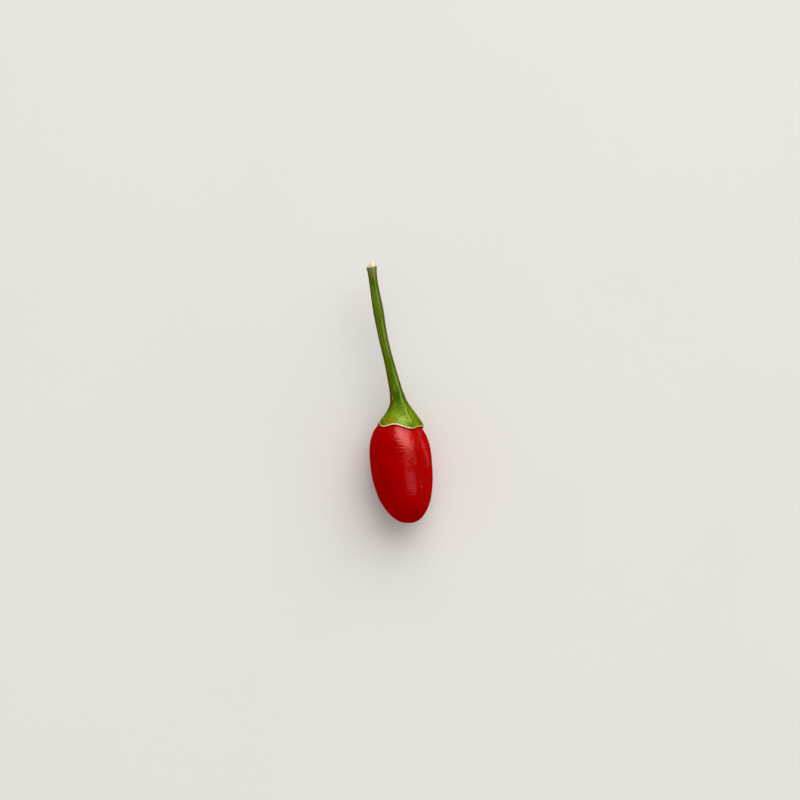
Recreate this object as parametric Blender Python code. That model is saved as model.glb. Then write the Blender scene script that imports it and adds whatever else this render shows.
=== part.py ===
"""A small ripe bird pepper, as picked, lying on its side.

It is two pieces. The red pod rests on a small flat spot under its belly. The green calyx caps the
pod's shoulder with five short teeth, and runs on as one piece into a ribbed stem with a torn end.

Units are metres, +Z is up, and the origin is the middle of the flat spot. The stem points along +Y.
"Around" is an angle about a piece's own line: 0 is straight up and a quarter turn is towards +X.
"""

import math

import bmesh
import bpy
from mathutils import Vector

MM = 0.001

# The pod, whose widest ring stands over the origin
POD_RADIUS = 3.91 * MM
TO_TIP = 7.6 * MM
TO_SHOULDER = 5.6 * MM
TIP_FULLNESS = 2.17  # exponent of the outline: 2 gives an ellipse, and more is blunter
SHOULDER_FULLNESS = 2.55
BELLY_REACH = 0.45  # the tip's outline passes into the shoulder's between minus and plus this height
POD_FLATNESS = 0.97  # height of the round section over its width
REST_DEPTH = 0.15 * MM  # how much of the belly the flat spot takes away
POD_DRIFT = 0.0874  # how far the pod's line drifts towards -X for each metre along +Y
POD_BOW = 4.19  # how far it bows towards +X, per metre squared
SHOULDER_SHIFT = 0.30 * MM  # how far the shoulder sits off that line, towards +X
SHOULDER_SHIFT_FROM = 4.0 * MM  # where that shift starts
TIP_DIMPLE = 0.10 * MM
POD_SEGMENTS = 52
POD_RINGS = 36

# The furrows between the pod's three chambers: place around, greatest depth, and the height where
# each one dies out, from 1 at the shoulder to -1 at the tip
FURROWS = (
    (math.radians(36), 0.16 * MM, -0.75),
    (math.radians(158), 0.12 * MM, -0.35),
    (math.radians(-84), 0.10 * MM, -0.30),
)
FURROW_WIDTH = math.radians(14)
FURROW_FULL_DEPTH = 0.6

# The line that the calyx and stem follow, seen from above, from inside the calyx to the torn end
STEM_LINE = (
    (-0.08 * MM, 4.90 * MM),
    (-0.16 * MM, 6.22 * MM),
    (-0.38 * MM, 7.75 * MM),
    (-1.25 * MM, 11.50 * MM),
    (-2.18 * MM, 15.25 * MM),
    (-2.86 * MM, 18.90 * MM),
    (-3.48 * MM, 22.60 * MM),
    (-3.72 * MM, 24.70 * MM),
)
STEM_RISE = 1.9 * MM  # how far the torn end lies above the pod's line
SPLINE_STEPS = 12

# The stem's radius between its ribs, at each distance along its line
NECK = 3.0 * MM
STEM_OUTLINE = (
    (NECK, 0.94 * MM),
    (4.0 * MM, 0.77 * MM),
    (5.2 * MM, 0.68 * MM),
    (7.0 * MM, 0.58 * MM),
    (9.0 * MM, 0.52 * MM),
    (12.2 * MM, 0.55 * MM),
    (14.3 * MM, 0.61 * MM),
    (16.2 * MM, 0.55 * MM),
    (18.4 * MM, 0.50 * MM),
    (19.4 * MM, 0.54 * MM),
    (20.1 * MM, 0.61 * MM),
)
GREEN_SEGMENTS = 50
STEM_RINGS = 26

# The calyx: a cap on the pod's shoulder, which sweeps up from its edge to the neck
CALYX_THICKNESS = 0.18 * MM
CALYX_LOPSIDE = 0.33  # how much thicker it is towards +X, as a share, and thinner towards -X
POD_GAP = 0.06 * MM
UNDERSIDE_RINGS = 9
LIP_RINGS = 4
CALYX_RINGS = 12
SWEEP_FROM_EDGE = 0.8 * MM
SWEEP_TO_NECK = 1.0 * MM
SWEEP_LIFT = 0.07 * MM
SWEEP_LOOK_AHEAD = 0.05  # how much higher on the pod the sweep's first direction is taken
NECK_FLARE = 0.08  # how fast the calyx widens just under the neck

# The calyx's edge has five teeth. Between them it lies EDGE_ALONG from the pod's widest ring
TEETH = 5
FIRST_TOOTH = math.radians(-41)
EDGE_ALONG = 4.68 * MM
EDGE_TILT = 0.08 * MM
TOOTH_LENGTH = 0.47 * MM
TOOTH_SHARPNESS = 2.1
RIB_ON_STEM = 0.085 * MM
RIB_ON_CALYX = 0.13 * MM
RIB_TWIST = math.radians(-12)  # the ribs wind a little between the neck and the torn end

# The torn end faces a little upwards and towards -X. Its bark is a rim round a groove and the pith:
# the profile gives each ring inside the rim, as a share of its radius, and how far it stands out
SCAR_SLANT_UP = 0.26
SCAR_SLANT_ASIDE = 0.34
SCAR_TEAR = 0.08 * MM
TEAR_WAVES = ((3, 0.8), (5, 0.3))  # the tear's uneven edge: waves all round, and where each starts
SCAR_START = 0.93  # where the stem starts to turn to the slanted end, as a share of its length
SCAR_PROFILE = ((0.90, 0.02 * MM), (0.72, -0.07 * MM), (0.42, 0.10 * MM), (0.0, 0.13 * MM))

RIPE_RED = (0.40, 0.004, 0.006)
POD_ROUGHNESS = 0.28
FRESH_GREEN = (0.10, 0.22, 0.02)
STEM_ROUGHNESS = 0.5

POD_LINE_HEIGHT = POD_RADIUS * POD_FLATNESS - REST_DEPTH


def mix(first, second, share):
    return first + (second - first) * share


def smooth_step(value, start, end):
    """0 before start, 1 after end, and an even blend between them."""
    share = min(1.0, max(0.0, (value - start) / (end - start)))
    return share * share * (3 - 2 * share)


def half_turn(angle):
    """The same angle, brought between minus half a turn and half a turn."""
    return (angle + math.pi) % (2 * math.pi) - math.pi


def spline(points, index, share):
    """A point of the smooth curve through the points, between number index and the next."""
    before = points[max(index - 1, 0)]
    start = points[index]
    end = points[index + 1]
    after = points[min(index + 2, len(points) - 1)]
    bend = 2 * before - 5 * start + 4 * end - after
    twist = 3 * start - before - 3 * end + after
    return 0.5 * (2 * start + (end - before) * share + bend * share**2 + twist * share**3)


# The pod's form


def pod_line(along):
    """The point of the pod's own line that lies this far along +Y."""
    shift = SHOULDER_SHIFT * smooth_step(along, SHOULDER_SHIFT_FROM, TO_SHOULDER)
    return Vector((POD_BOW * along**2 - POD_DRIFT * along + shift, along, POD_LINE_HEIGHT))


def furrow_depth(around, height):
    depth = 0.0
    for place, deepest, reach in FURROWS:
        off = half_turn(around - place) / FURROW_WIDTH
        depth += deepest * math.exp(-off * off) * smooth_step(height, reach, FURROW_FULL_DEPTH)
    return depth


def pod_point(height, around, lift=0.0):
    """A point of the pod's skin, or one that stands off it by the lift.

    The height is as on a ball of radius 1, from -1 at the tip to 1 at the shoulder.
    """
    to_shoulder = smooth_step(height, -BELLY_REACH, BELLY_REACH)
    length = mix(TO_TIP, TO_SHOULDER, to_shoulder) + lift
    fullness = mix(TIP_FULLNESS, SHOULDER_FULLNESS, to_shoulder)
    along = math.copysign(length * abs(height) ** (2 / fullness), height)
    width = max(0.0, 1 - height * height) ** (1 / fullness)
    radius = (POD_RADIUS + lift - furrow_depth(around, height)) * width
    offset = Vector((radius * math.sin(around), 0, radius * math.cos(around) * POD_FLATNESS))
    return pod_line(along) + offset


def shoulder_height(along):
    """The height at which the pod's shoulder lies this far along its line."""
    return (along / TO_SHOULDER) ** (SHOULDER_FULLNESS / 2)


# The form of the calyx and the stem


def stem_route():
    """Points along the stem's line, with the distance of each from the first."""
    corners = [Vector(corner) for corner in STEM_LINE]
    seen_from_above = []
    for index in range(len(corners) - 1):
        for step in range(SPLINE_STEPS):
            seen_from_above.append(spline(corners, index, step / SPLINE_STEPS))
    seen_from_above.append(corners[-1])
    start = corners[0].y
    end = corners[-1].y
    route = []
    distances = []
    for point in seen_from_above:
        share = (point.y - start) / (end - start)
        route.append(Vector((point.x, point.y, POD_LINE_HEIGHT + STEM_RISE * share**2)))
        if len(route) == 1:
            distances.append(0.0)
        else:
            distances.append(distances[-1] + (route[-1] - route[-2]).length)
    return route, distances


ROUTE, DISTANCES = stem_route()
STEM_END = DISTANCES[-1]


def stem_radius(distance):
    index = 0
    while index < len(STEM_OUTLINE) - 2 and STEM_OUTLINE[index + 1][0] < distance:
        index += 1
    start = STEM_OUTLINE[index][0]
    end = STEM_OUTLINE[index + 1][0]
    share = min(1.0, max(0.0, (distance - start) / (end - start)))
    radii = [radius for place, radius in STEM_OUTLINE]
    return spline(radii, index, share)


def tooth(around):
    """1 at the tip of a tooth of the calyx, and 0 halfway to the next."""
    step = 2 * math.pi / TEETH
    off = abs((around - FIRST_TOOTH + step / 2) % step - step / 2) / (step / 2)
    return (1 - off) ** TOOTH_SHARPNESS


def rib(around):
    """1 on the rib that runs up from each tooth, and 0 between two ribs."""
    return (0.5 + 0.5 * math.cos(TEETH * (around - FIRST_TOOTH))) ** 2


def edge_height(around):
    """The height on the pod at which the calyx's edge lies."""
    along = EDGE_ALONG - EDGE_TILT * math.sin(around) - TOOTH_LENGTH * tooth(around)
    return shoulder_height(along)


def stem_point(distance, around, away):
    """A point beside the stem's line, this far away from it. Past its end the line runs straight on."""
    index = 0
    while index < len(ROUTE) - 2 and DISTANCES[index + 1] < distance:
        index += 1
    share = (distance - DISTANCES[index]) / (DISTANCES[index + 1] - DISTANCES[index])
    place = ROUTE[index].lerp(ROUTE[index + 1], share)
    heading = (ROUTE[index + 1] - ROUTE[index]).normalized()
    side = heading.cross(Vector((0, 0, 1))).normalized()
    up = side.cross(heading)
    return place + (side * math.sin(around) + up * math.cos(around)) * away


def thickness(around):
    """The calyx's thickness at its edge."""
    return CALYX_THICKNESS * (1 + CALYX_LOPSIDE * math.sin(around))


def underside_point(share, around):
    """A point of the hollow that the pod's shoulder fills, from its middle to the calyx's edge."""
    return pod_point(mix(1.0, edge_height(around), share), around, POD_GAP)


def lip_point(share, around):
    """A point of the calyx's rounded edge, from its inner to its outer side."""
    half = thickness(around) / 2
    lift = POD_GAP + half - half * math.cos(math.pi * share)
    overhang = half * math.sin(math.pi * share)
    return pod_point(edge_height(around) - overhang / TO_SHOULDER, around, lift)


def calyx_point(share, around):
    """A point of the calyx's outside, which sweeps from its edge to the neck in one soft bend."""
    height = edge_height(around)
    lift = POD_GAP + thickness(around)
    edge = pod_point(height, around, lift)
    further = pod_point(height + SWEEP_LOOK_AHEAD, around, lift + SWEEP_LIFT)
    above_edge = edge + (further - edge).normalized() * SWEEP_FROM_EDGE
    neck_radius = stem_radius(NECK) + RIB_ON_STEM * rib(around)
    below_radius = neck_radius + NECK_FLARE * SWEEP_TO_NECK
    below_neck = stem_point(NECK - SWEEP_TO_NECK, around, below_radius)
    neck = stem_point(NECK, around, neck_radius)
    rest = 1 - share
    point = edge * rest**3 + above_edge * (3 * rest**2 * share)
    point += below_neck * (3 * rest * share**2) + neck * share**3
    outwards = (point - stem_point(NECK * share, around, 0.0)).normalized()
    return point + outwards * (RIB_ON_CALYX * rib(around) * math.sin(math.pi * share))


def scar_shift(radius, around):
    """How far the torn end stands beyond or behind the stem's end at this place."""
    tear = SCAR_TEAR
    for waves, start in TEAR_WAVES:
        tear *= math.sin(waves * around + start)
    return tear + radius * (SCAR_SLANT_ASIDE * math.sin(around) - SCAR_SLANT_UP * math.cos(around))


def bark_point(distance, around):
    """A point of the stem's ribbed side."""
    share = (distance - NECK) / (STEM_END - NECK)
    radius = stem_radius(distance) + RIB_ON_STEM * rib(around - RIB_TWIST * share)
    shift = scar_shift(radius, around) * smooth_step(share, SCAR_START, 1.0)
    return stem_point(distance + shift, around, radius)


def scar_point(step, around):
    """A point of the torn end, from its rim to its middle."""
    reach, level = SCAR_PROFILE[step]
    rim = stem_radius(STEM_END) + RIB_ON_STEM * rib(around - RIB_TWIST)
    shift = level + reach * scar_shift(rim, around)
    return stem_point(STEM_END + shift, around, reach * rim)


def green_point(ring, around):
    """A point of the calyx and stem. Its rings run from under the calyx to the torn end's middle."""
    around += FIRST_TOOTH
    if ring <= UNDERSIDE_RINGS:
        return underside_point(ring / UNDERSIDE_RINGS, around)
    ring -= UNDERSIDE_RINGS
    if ring <= LIP_RINGS:
        return lip_point(ring / LIP_RINGS, around)
    ring -= LIP_RINGS
    if ring <= CALYX_RINGS:
        return calyx_point(ring / CALYX_RINGS, around)
    ring -= CALYX_RINGS
    if ring <= STEM_RINGS:
        return bark_point(mix(NECK, STEM_END, ring / STEM_RINGS), around)
    return scar_point(ring - STEM_RINGS - 1, around)


# Meshes


def ringed_mesh(name, segments, rings, place):
    """A ball whose rings are carried to a new form: place(ring, around) gives each point."""
    bm = bmesh.new()
    bmesh.ops.create_uvsphere(bm, u_segments=segments, v_segments=rings, radius=1.0)
    for vert in bm.verts:
        height = max(-1.0, min(1.0, vert.co.z))
        ring = round((1 - math.acos(height) / math.pi) * rings)
        # The ball's axis is laid over from +Z to +Y, and the minus sign keeps its faces pointing out
        around = math.atan2(-vert.co.x, vert.co.y)
        vert.co = place(ring, around)
    mesh = bpy.data.meshes.new(name)
    bm.to_mesh(mesh)
    bm.free()
    return mesh


def pod_ring_point(ring, around):
    point = pod_point(-math.cos(math.pi * ring / POD_RINGS), around)
    if ring == 0:
        point.y += TIP_DIMPLE
    return point


def flatten_foot(mesh):
    """Cuts the belly off at the ground, and closes the cut with one flat face."""
    bm = bmesh.new()
    bm.from_mesh(mesh)
    bmesh.ops.bisect_plane(
        bm,
        geom=bm.verts[:] + bm.edges[:] + bm.faces[:],
        plane_co=(0, 0, 0),
        plane_no=(0, 0, -1),
        clear_outer=True,
    )
    rim = [edge for edge in bm.edges if edge.is_boundary]
    bmesh.ops.contextual_create(bm, geom=rim)
    bmesh.ops.recalc_face_normals(bm, faces=bm.faces)
    bm.to_mesh(mesh)
    bm.free()


# Objects


def make_material(name, colour, roughness):
    made = bpy.data.materials.new(name)
    made.use_nodes = True
    shader = made.node_tree.nodes["Principled BSDF"]
    shader.inputs["Base Color"].default_value = (*colour, 1)
    shader.inputs["Roughness"].default_value = roughness
    shader.inputs["Metallic"].default_value = 0.0
    return made


def add_object(name, mesh, material, collection):
    mesh.materials.append(material)
    mesh.shade_smooth()
    collection.objects.link(bpy.data.objects.new(name, mesh))


def make_pod(collection):
    mesh = ringed_mesh("pod", POD_SEGMENTS, POD_RINGS, pod_ring_point)
    flatten_foot(mesh)
    ripe_red = make_material("ripe_red", RIPE_RED, POD_ROUGHNESS)
    add_object("pod", mesh, ripe_red, collection)


def make_calyx_and_stem(collection):
    rings = UNDERSIDE_RINGS + LIP_RINGS + CALYX_RINGS + STEM_RINGS + len(SCAR_PROFILE)
    mesh = ringed_mesh("calyx_and_stem", GREEN_SEGMENTS, rings, green_point)
    fresh_green = make_material("fresh_green", FRESH_GREEN, STEM_ROUGHNESS)
    add_object("calyx_and_stem", mesh, fresh_green, collection)


def main():
    for old in list(bpy.data.objects):
        bpy.data.objects.remove(old)
    pepper = bpy.data.collections.new("bird_pepper")
    bpy.context.scene.collection.children.link(pepper)
    make_pod(pepper)
    make_calyx_and_stem(pepper)


main()
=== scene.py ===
# %% [markdown]
# # A small ripe bird pepper, lying on a pale table
# The solids of the pepper are already made at their real size: a red pod, and a green calyx that runs on
# into the stem. Here we dress them. We load the solids first, because every piece that follows has to sit
# where they sit, and we keep their outer box so that the dressed pepper can be measured against it.

# %% Load the solids
import math
import random

import bmesh
import bpy
from mathutils import Matrix, Quaternion, Vector, noise


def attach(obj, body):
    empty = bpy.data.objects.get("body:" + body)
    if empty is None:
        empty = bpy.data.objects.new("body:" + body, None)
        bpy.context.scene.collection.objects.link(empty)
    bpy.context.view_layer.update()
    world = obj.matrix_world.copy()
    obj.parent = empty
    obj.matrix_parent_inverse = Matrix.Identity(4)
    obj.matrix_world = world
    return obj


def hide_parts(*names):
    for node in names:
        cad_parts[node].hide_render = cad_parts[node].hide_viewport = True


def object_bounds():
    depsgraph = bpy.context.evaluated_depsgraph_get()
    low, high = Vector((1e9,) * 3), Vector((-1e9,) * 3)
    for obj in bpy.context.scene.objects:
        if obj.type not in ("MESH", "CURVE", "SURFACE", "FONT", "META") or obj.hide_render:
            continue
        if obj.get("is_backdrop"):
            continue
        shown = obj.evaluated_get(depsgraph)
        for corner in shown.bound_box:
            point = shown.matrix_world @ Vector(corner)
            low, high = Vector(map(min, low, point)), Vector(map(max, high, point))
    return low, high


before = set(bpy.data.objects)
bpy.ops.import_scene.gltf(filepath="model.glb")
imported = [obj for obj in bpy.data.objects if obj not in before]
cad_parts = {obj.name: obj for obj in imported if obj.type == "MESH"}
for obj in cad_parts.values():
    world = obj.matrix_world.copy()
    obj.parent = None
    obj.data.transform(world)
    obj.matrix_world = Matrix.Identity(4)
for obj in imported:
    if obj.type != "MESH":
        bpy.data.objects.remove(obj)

CAD_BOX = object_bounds()
print("solids:", ", ".join(sorted(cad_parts)))

# %% [markdown]
# ## Units and a few small tools
# Blender works in metres and radians here, and a pepper is a matter of millimetres. So sizes are written
# as so many MM, and angles as so many DEG. The functions below do sums that come back in each step.

# %% Small sums
MM = 0.001
DEG = math.pi / 180


def mix(first, second, share):
    """A blend between two values."""
    return first + (second - first) * share


def smooth_step(value, start, end):
    """0 before start, 1 after end, and an even blend between them."""
    share = min(1.0, max(0.0, (value - start) / (end - start)))
    return share * share * (3 - 2 * share)


def half_turn(angle):
    """The same angle, brought back to within half a turn."""
    return (angle + math.pi) % (2 * math.pi) - math.pi


def bell(off):
    """1 in the middle, and less and less on both sides of it."""
    return math.exp(-off * off)


def unevenness(point, size, offset=0.0):
    """Smooth chance relief from about -1 to 1, whose bumps are this size."""
    return noise.noise(point / size + Vector((offset, offset, offset)))


print("a blend of 2 and 4:", mix(2, 4, 0.5))

# %% [markdown]
# ## The camera
# The photograph looks straight down on the pepper, with the stem up in the picture. A camera that hangs
# over the table with no turn at all has +Y up in its picture. We want eight pixels to the millimetre at
# the pod's middle height, so we work out how high a long lens has to hang for that.

# %% Hang the camera over the table
PHOTO_PIXELS = 800
PIXELS_PER_MM = 8
PICTURE_MIDDLE = Vector((-0.125 * MM, 7.8125 * MM))
FOCUS_HEIGHT = 3.6 * MM
LENS = 90
SENSOR = 36
NEAREST_SEEN = 10 * MM
FURTHEST_SEEN = 10.0

picture_width = PHOTO_PIXELS / PIXELS_PER_MM * MM
camera_height = FOCUS_HEIGHT + picture_width * LENS / SENSOR
bpy.ops.object.camera_add(location=(*PICTURE_MIDDLE, camera_height), rotation=(0, 0, 0))
camera = bpy.context.object
camera.name = "overhead_camera"
camera.data.lens = LENS
camera.data.sensor_width = SENSOR
camera.data.clip_start = NEAREST_SEEN
camera.data.clip_end = FURTHEST_SEEN
bpy.context.scene.camera = camera
print(f"the camera hangs {camera_height / MM:.0f} mm over the table")

# %% [markdown]
# ## The table and the light
# The table is a wide plain sheet, pale and quite matt. The light is that of a studio beside a window: a
# large soft panel up, behind and to the right, brighter in its middle, faint fills low at both sides, and
# even air. These only light the skin. What the skin mirrors is set apart from it, by panels that are only
# mirrored: four for the window, which draw the slanting pale shine on the pod, a faint one that carries it
# on towards the tip, and lit bands of the table on the right, which draw the streak on the right lobe. A
# weak red glow all over the table keeps the outline, where every skin mirrors most, from going dark. A
# shine lies where the skin mirrors a light to the camera. So each place was worked out from the place of
# its shine, on a flat map of the sky: degrees from straight up, with +X to the right and +Y up. The pale
# table and the air aren't mirrored, because the pod's left side is a clean deep red with no haze over it,
# and the picture cuts the last trace of haze as its darkest dark.

# %% Lay the table
TABLE_SIZE = 6.0
TABLE_DROP = 0.02 * MM

bpy.ops.mesh.primitive_plane_add(size=TABLE_SIZE, location=(0, 0, -TABLE_DROP))
table = bpy.context.object
table.name = "pale_table"
table.visible_glossy = False
table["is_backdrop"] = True
print("table:", TABLE_SIZE, "m")

# %% Tools for soft lights
LIGHT_DISTANCE = 1.5
WINDOW_TINT = (1.0, 0.98, 0.96)
UP = Vector((0, 0, 1))


def soft_light(name, middle, facing, upright, size, brightness, tint=WINDOW_TINT):
    """A flat soft light at this place in metres. Brightness is what a mirror would show of it."""
    back = -facing.normalized()
    upright = (upright - back * upright.dot(back)).normalized()
    bpy.ops.object.light_add(type="AREA", location=middle)
    panel = bpy.context.object
    panel.name = name
    panel.rotation_mode = "QUATERNION"
    panel.rotation_quaternion = Matrix((upright.cross(back), upright, back)).transposed().to_quaternion()
    panel.data.shape = "RECTANGLE"
    panel.data.size, panel.data.size_y = size
    panel.data.energy = brightness * math.pi * size[0] * size[1]
    panel.data.color = tint
    panel.visible_camera = False
    print(f"{name}: {panel.data.energy:.2f} W")
    return panel


def sky_panel(name, place, spread, brightness, tint=WINDOW_TINT):
    """A soft light that faces the pepper. Its place and spread are degrees on the map of the sky."""
    from_top = math.hypot(*place) * DEG
    turn = math.atan2(place[1], place[0])
    outwards = Vector((math.cos(turn), math.sin(turn), 0))
    sideways = UP.cross(outwards)
    towards = outwards * math.sin(from_top) + UP * math.cos(from_top)
    falling = outwards * math.cos(from_top) - UP * math.sin(from_top)
    map_up = falling * math.sin(turn) + sideways * math.cos(turn)
    size = [2 * LIGHT_DISTANCE * math.tan(part / 2 * DEG) for part in spread]
    return soft_light(name, towards * LIGHT_DISTANCE, -towards, map_up, size, brightness, tint)


def table_gleam(name, start, end, width, brightness, tint=WINDOW_TINT):
    """A lit band on the table between two places. The places and the width are in millimetres."""
    start = Vector((*start, 0)) * MM
    end = Vector((*end, 0)) * MM
    size = (width * MM, (end - start).length)
    return soft_light(name, (start + end) / 2, UP, end - start, size, brightness, tint)


print("a sky panel hangs", LIGHT_DISTANCE, "m from the pepper")

# %% Light the skin
WARM_TINT = (1.0, 0.88, 0.86)

lights = (
    sky_panel("window_light", (20, 50), (72, 68), 1.3),
    sky_panel("window_middle_light", (16, 46), (42, 42), 2.0),
    sky_panel("left_fill", (-84, 0), (24, 70), 0.4, WARM_TINT),
    sky_panel("right_fill", (80, 0), (40, 70), 0.6, WARM_TINT),
)
for light in lights:
    light.visible_glossy = False
print("lights:", len(lights))

# %% Draw the shines
TIP_TINT = (1.0, 0.8, 1.0)
RED_TINT = (1.0, 0.04, 0.03)

gleams = (
    sky_panel("wide_gleam", (17, 52), (54, 60), 2.7),
    sky_panel("upper_gleam", (2, 57), (28, 38), 3.3),
    sky_panel("middle_gleam", (18, 40), (36, 36), 3.9),
    sky_panel("lower_gleam", (34, 22.5), (44, 25), 2.3),
    sky_panel("tip_gleam", (31, -14), (38, 20), 1.7, TIP_TINT),
    table_gleam("nearest_gleam", (12.5, 1.3), (21, 3.6), 2.2, 0.9),
    table_gleam("near_gleam", (21, 6.5), (33, 10.5), 7, 1.0),
    table_gleam("further_gleam", (33, 11.5), (63, 21.5), 15, 1.3),
    table_gleam("far_gleam", (63, 21.5), (82, 28), 26, 1.3),
    table_gleam("side_gleam", (12, 10.0), (40, 26), 4, 0.5),
    table_gleam("red_glow", (0, -40), (0, 50), 90, 0.3, RED_TINT),
)
for gleam in gleams:
    gleam.visible_diffuse = False
bpy.data.objects["tip_gleam"].data.shape = "ELLIPSE"
print("gleams:", len(gleams))

# %% Fill in the air and cut the last haze
AIR_BRIGHTNESS = 0.48
DARK_CUT = 0.003

air = bpy.data.worlds.new("even_air")
bpy.context.scene.world = air
air.use_nodes = True
background = air.node_tree.nodes["Background"]
background.inputs["Color"].default_value = (*WINDOW_TINT, 1)
background.inputs["Strength"].default_value = AIR_BRIGHTNESS
air.cycles_visibility.glossy = False

picture = bpy.context.scene.view_settings
picture.view_transform = "Standard"
picture.use_curve_mapping = True
picture.curve_mapping.black_level = [DARK_CUT] * 3
picture.curve_mapping.update()
print("the air's brightness:", AIR_BRIGHTNESS)

# %% [markdown]
# ## The pod's form
# A ripe pod of this kind is a plump oval berry. Seen from above its outline is fuller than an ellipse at
# the shoulder, where the calyx sits, and a little slimmer at the tip, and its middle line bends slightly.
# The numbers are those of the solid, so that the fine pod lies in its place. Three shallow furrows part
# the three chambers inside. Here they are narrower and shallower than on the solid, as they are on the
# skin: each is a crease that drops quickly on one side and comes up again slowly on the other.

# %% Measures of the pod
POD_RADIUS = 3.91 * MM
TO_TIP = 7.6 * MM
TO_SHOULDER = 5.6 * MM
TIP_FULLNESS = 2.17
SHOULDER_FULLNESS = 2.55
BELLY_REACH = 0.45
POD_FLATNESS = 0.97
REST_DEPTH = 0.15 * MM
POD_DRIFT = 0.0874
POD_BOW = 4.19
SHOULDER_SHIFT = 0.30 * MM
SHOULDER_SHIFT_FROM = 4.0 * MM
FURROWS = (
    (40 * DEG, 0.049 * MM, -0.80),
    (158 * DEG, 0.07 * MM, -0.35),
    (-84 * DEG, 0.06 * MM, -0.30),
)
FURROW_WIDTH = 4.6 * DEG
FURROW_RECOVERY = 4.0
FURROW_FULL_DEPTH = 0.6
POD_LINE_HEIGHT = POD_RADIUS * POD_FLATNESS - REST_DEPTH


def pod_line(along):
    """The point of the pod's bent middle line this far along +Y."""
    shift = SHOULDER_SHIFT * smooth_step(along, SHOULDER_SHIFT_FROM, TO_SHOULDER)
    return Vector((POD_BOW * along**2 - POD_DRIFT * along + shift, along, POD_LINE_HEIGHT))


def pod_outline(height, lift=0.0):
    """How far along and how wide the pod is at this height, from -1 at the tip to 1 at the shoulder."""
    to_shoulder = smooth_step(height, -BELLY_REACH, BELLY_REACH)
    length = mix(TO_TIP, TO_SHOULDER, to_shoulder) + lift
    fullness = mix(TIP_FULLNESS, SHOULDER_FULLNESS, to_shoulder)
    along = math.copysign(length * abs(height) ** (2 / fullness), height)
    return along, max(0.0, 1 - height * height) ** (1 / fullness)


def furrow_depth(around, height):
    depth = 0.0
    for place, deepest, reach in FURROWS:
        off = half_turn(around - place) / FURROW_WIDTH
        if off > 0:
            off /= FURROW_RECOVERY
        depth += deepest * bell(off) * smooth_step(height, reach, FURROW_FULL_DEPTH)
    return depth


print("the pod is", round((TO_TIP + TO_SHOULDER) / MM, 1), "mm long")

# %% [markdown]
# ## Modelling the pod
# The pod could be a turned profile, but its middle line bends and its section is a little flat, so we
# start from a ball laid along the table, with its poles at the tip and the shoulder. In edit mode we take
# its rings one after another, scale each to the width it should have, and move it to its place. That is
# the same S and G that one would press by hand, with the amounts worked out.

# %% Tools for working on a mesh in edit mode
def start_alone(piece):
    """Makes this the one object that operators act on."""
    bpy.ops.object.select_all(action="DESELECT")
    piece.select_set(True)
    bpy.context.view_layer.objects.active = piece


def switch_to(mode):
    bpy.ops.object.mode_set(mode=mode)


def pick(piece, places):
    """Selects just the vertices with these numbers, in edit mode."""
    bpy.ops.mesh.select_all(action="DESELECT")
    bm = bmesh.from_edit_mesh(piece.data)
    bm.verts.ensure_lookup_table()
    for place in places:
        bm.verts[place].select = True
    bm.select_flush_mode()
    bmesh.update_edit_mesh(piece.data, loop_triangles=False, destructive=False)


def rings_along_y(piece):
    """The vertices of each ring, from the lowest Y to the highest."""
    rings = {}
    for vert in piece.data.vertices:
        rings.setdefault(round(vert.co.y / MM, 4), []).append(vert.index)
    return [rings[place] for place in sorted(rings)]


# %% Lay a ball down and shape it ring by ring
POD_SEGMENTS = 132
POD_RINGS = 100

bpy.ops.mesh.primitive_uv_sphere_add(
    segments=POD_SEGMENTS,
    ring_count=POD_RINGS,
    radius=POD_RADIUS,
    location=(0, 0, POD_LINE_HEIGHT),
    rotation=(-math.pi / 2, 0, 0),
)
pod = bpy.context.object
pod.name = "ripe_pod"
bpy.ops.object.transform_apply(location=True, rotation=True, scale=True)
pod_rings = rings_along_y(pod)
switch_to("EDIT")
bpy.ops.mesh.select_mode(type="VERT")
for number, ring in enumerate(pod_rings):
    height = -math.cos(math.pi * number / POD_RINGS)
    along, width = pod_outline(height)
    on_ball = height * POD_RADIUS
    pick(pod, ring)
    if len(ring) > 1:
        swell = width / math.sqrt(1 - height * height)
        middle = (0, on_ball, POD_LINE_HEIGHT)
        bpy.ops.transform.resize(value=(swell, 1, swell * POD_FLATNESS), center_override=middle)
    bpy.ops.transform.translate(value=(pod_line(along).x, along - on_ball, 0))
switch_to("OBJECT")
print("pod rings:", len(pod_rings))

# %% [markdown]
# ## Furrows, soft dents and the scar at the tip
# Furrows follow the chambers and fade towards the tip. Painting them as vertex weights and pushing the
# skin in by a Displace modifier keeps the smooth form between them untouched. A second, much weaker
# Displace with a cloud texture gives the slow dents that make the edge of a shine wander on a real skin.
# At the tip the dried style has left a small pit. All of them push inwards, so the pod never outgrows
# its solid's box, and the belly is pressed flat at the table last.

# %% Weights for the furrows and the pit
PIT_RADIUS = 0.55 * MM
PIT_FLOOR = 0.1 * MM
PIT_DEPTH = 0.14 * MM


def pod_place(point):
    """The height, from -1 to 1, and the angle around the middle line of a point of the skin."""
    reach = TO_TIP if point.y < 0 else TO_SHOULDER
    fullness = TIP_FULLNESS if point.y < 0 else SHOULDER_FULLNESS
    share = min(1.0, abs(point.y) / reach)
    offset = point - pod_line(point.y)
    return math.copysign(share ** (fullness / 2), point.y), math.atan2(offset.x, offset.z / POD_FLATNESS)


def weigh(piece, name, weight_of):
    """Paints a vertex group from a function of the vertex's place."""
    group = piece.vertex_groups.new(name=name)
    for vert in piece.data.vertices:
        weight = weight_of(vert.co)
        if weight > 0:
            group.add([vert.index], weight, "REPLACE")
    return group.name


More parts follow.
